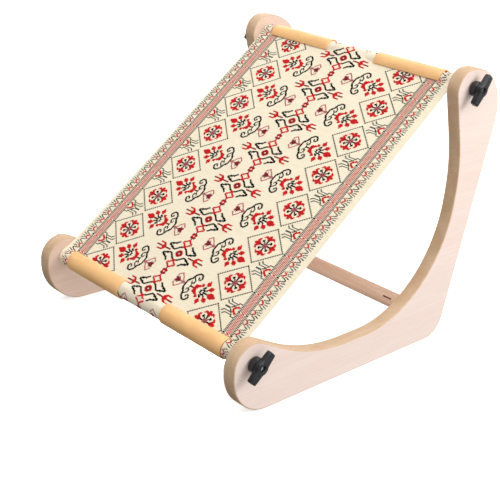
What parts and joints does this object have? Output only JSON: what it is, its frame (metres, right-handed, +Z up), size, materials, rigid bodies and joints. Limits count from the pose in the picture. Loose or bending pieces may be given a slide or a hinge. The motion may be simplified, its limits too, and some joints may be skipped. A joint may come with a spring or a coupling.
{
  "type": "cross-stitch scroll frame",
  "caption": "Tabletop embroidery scroll frame: boomerang side plates, cloth rollers with T-knobs, crossbar and push-fit cloth clips.",
  "frame": {"origin": "centre of the footprint box, on the surface the side plates stand on", "axes": "+X along the rollers to the right-hand plate, +Y from the low front roller to the high back roller, +Z up"},
  "size_m": [0.4216, 0.4566, 0.383],
  "materials": {
    "plate_wood": "satin, fine sanded beech board",
    "rod_wood": "satin, turned beech rod",
    "peach_plastic": "satin moulded plastic",
    "black_plastic": "satin moulded plastic",
    "zinc_steel": "zinc plated",
    "cloth": "evenweave cotton with cross-stitch"
  },
  "bodies": {
    "frame": {"side_plate_left": "plate_wood", "side_plate_right": "plate_wood", "crossbar": "rod_wood", "cloth_span": "cloth"},
    "front_roller": {"roller_front": "rod_wood", "stud_front_left": "zinc_steel", "stud_front_right": "zinc_steel", "cloth_wound_front": "cloth"},
    "back_roller": {"roller_back": "rod_wood", "stud_back_left": "zinc_steel", "stud_back_right": "zinc_steel", "cloth_wound_back": "cloth"},
    "front_left_clip": {"clip_front_left": "peach_plastic"},
    "front_left_washer": {"washer_front_left": "zinc_steel"},
    "front_left_knob": {"knob_front_left": "black_plastic", "knob_nut_front_left": "zinc_steel"},
    "front_right_clip": {"clip_front_right": "peach_plastic"},
    "front_right_washer": {"washer_front_right": "zinc_steel"},
    "front_right_knob": {"knob_front_right": "black_plastic", "knob_nut_front_right": "zinc_steel"},
    "back_left_clip": {"clip_back_left": "peach_plastic"},
    "back_left_washer": {"washer_back_left": "zinc_steel"},
    "back_left_knob": {"knob_back_left": "black_plastic", "knob_nut_back_left": "zinc_steel"},
    "back_right_clip": {"clip_back_right": "peach_plastic"},
    "back_right_washer": {"washer_back_right": "zinc_steel"},
    "back_right_knob": {"knob_back_right": "black_plastic", "knob_nut_back_right": "zinc_steel"}
  },
  "joints": [
    {"name": "front_roller_turn", "type": "hinge", "parent": "frame", "child": "front_roller", "pos_m": [0, -0.19927, 0.0707], "axis": [1, 0, 0], "range_deg": [0, 60]},
    {"name": "back_roller_turn", "type": "hinge", "parent": "frame", "child": "back_roller", "pos_m": [0, 0.15673, 0.3587], "axis": [-1, 0, 0], "range_deg": [0, 60]},
    {"name": "front_left_clip_slide", "type": "slide", "parent": "front_roller", "child": "front_left_clip", "axis": [-1, 0, 0], "range_m": [-0.005, 0.005]},
    {"name": "front_left_knob_travel", "type": "slide", "parent": "front_roller", "child": "front_left_washer", "axis": [-1, 0, 0], "range_m": [0, 0.00125]},
    {"name": "front_left_knob_turn", "type": "hinge", "parent": "front_left_washer", "child": "front_left_knob", "pos_m": [0, -0.19927, 0.0707], "axis": [-1, 0, 0], "range_deg": [0, 450]},
    {"name": "front_right_clip_slide", "type": "slide", "parent": "front_roller", "child": "front_right_clip", "axis": [1, 0, 0], "range_m": [-0.005, 0.005]},
    {"name": "front_right_knob_travel", "type": "slide", "parent": "front_roller", "child": "front_right_washer", "axis": [1, 0, 0], "range_m": [0, 0.00125]},
    {"name": "front_right_knob_turn", "type": "hinge", "parent": "front_right_washer", "child": "front_right_knob", "pos_m": [0, -0.19927, 0.0707], "axis": [1, 0, 0], "range_deg": [0, 450]},
    {"name": "back_left_clip_slide", "type": "slide", "parent": "back_roller", "child": "back_left_clip", "axis": [-1, 0, 0], "range_m": [-0.005, 0.005]},
    {"name": "back_left_knob_travel", "type": "slide", "parent": "back_roller", "child": "back_left_washer", "axis": [-1, 0, 0], "range_m": [0, 0.00125]},
    {"name": "back_left_knob_turn", "type": "hinge", "parent": "back_left_washer", "child": "back_left_knob", "pos_m": [0, 0.15673, 0.3587], "axis": [-1, 0, 0], "range_deg": [0, 450]},
    {"name": "back_right_clip_slide", "type": "slide", "parent": "back_roller", "child": "back_right_clip", "axis": [1, 0, 0], "range_m": [-0.005, 0.005]},
    {"name": "back_right_knob_travel", "type": "slide", "parent": "back_roller", "child": "back_right_washer", "axis": [1, 0, 0], "range_m": [0, 0.00125]},
    {"name": "back_right_knob_turn", "type": "hinge", "parent": "back_right_washer", "child": "back_right_knob", "pos_m": [0, 0.15673, 0.3587], "axis": [1, 0, 0], "range_deg": [0, 450]}
  ],
  "couplings": [
    {"joint": "front_left_knob_travel", "follows": "front_left_knob_turn", "m_per_rad": 0.00015915},
    {"joint": "front_right_knob_travel", "follows": "front_right_knob_turn", "m_per_rad": 0.00015915},
    {"joint": "back_left_knob_travel", "follows": "back_left_knob_turn", "m_per_rad": 0.00015915},
    {"joint": "back_right_knob_travel", "follows": "back_right_knob_turn", "m_per_rad": 0.00015915}
  ]
}
